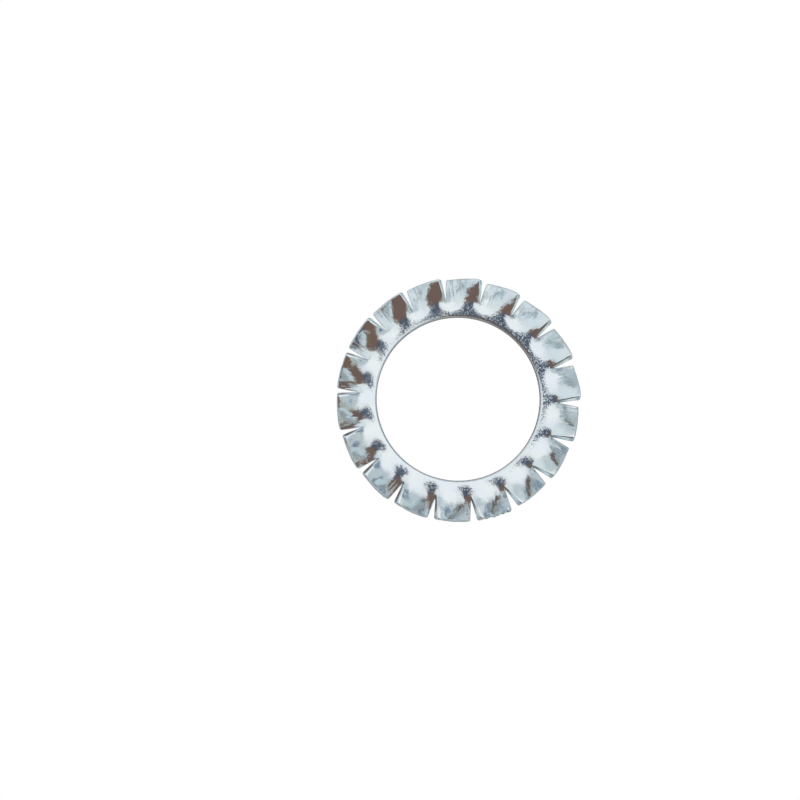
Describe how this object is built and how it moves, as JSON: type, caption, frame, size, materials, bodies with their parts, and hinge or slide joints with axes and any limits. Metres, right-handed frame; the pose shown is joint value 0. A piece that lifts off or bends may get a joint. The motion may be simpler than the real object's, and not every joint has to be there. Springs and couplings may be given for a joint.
{
  "type": "toothed lock washer",
  "caption": "Round lock washer of plated spring steel, a flat ring with twisted outer teeth parted by narrow slits, for under a bolt head or nut.",
  "frame": {"origin": "on the bore's axis, in the middle plane of the ring's sheet, which is also the middle of the height over the twisted teeth", "axes": "+Z along the bore's axis, towards the face seen in the picture, on which the clockwise corner of each tooth stands up; +X through the middle of one tooth"},
  "size_m": [0.0256, 0.0256, 0.004],
  "materials": {
    "zinc_plated_steel": "bright bluish zinc plate on spring steel, smooth on the faces and rougher on the sheared edges"
  },
  "bodies": {
    "root": {"washer": "zinc_plated_steel"}
  },
  "joints": []
}
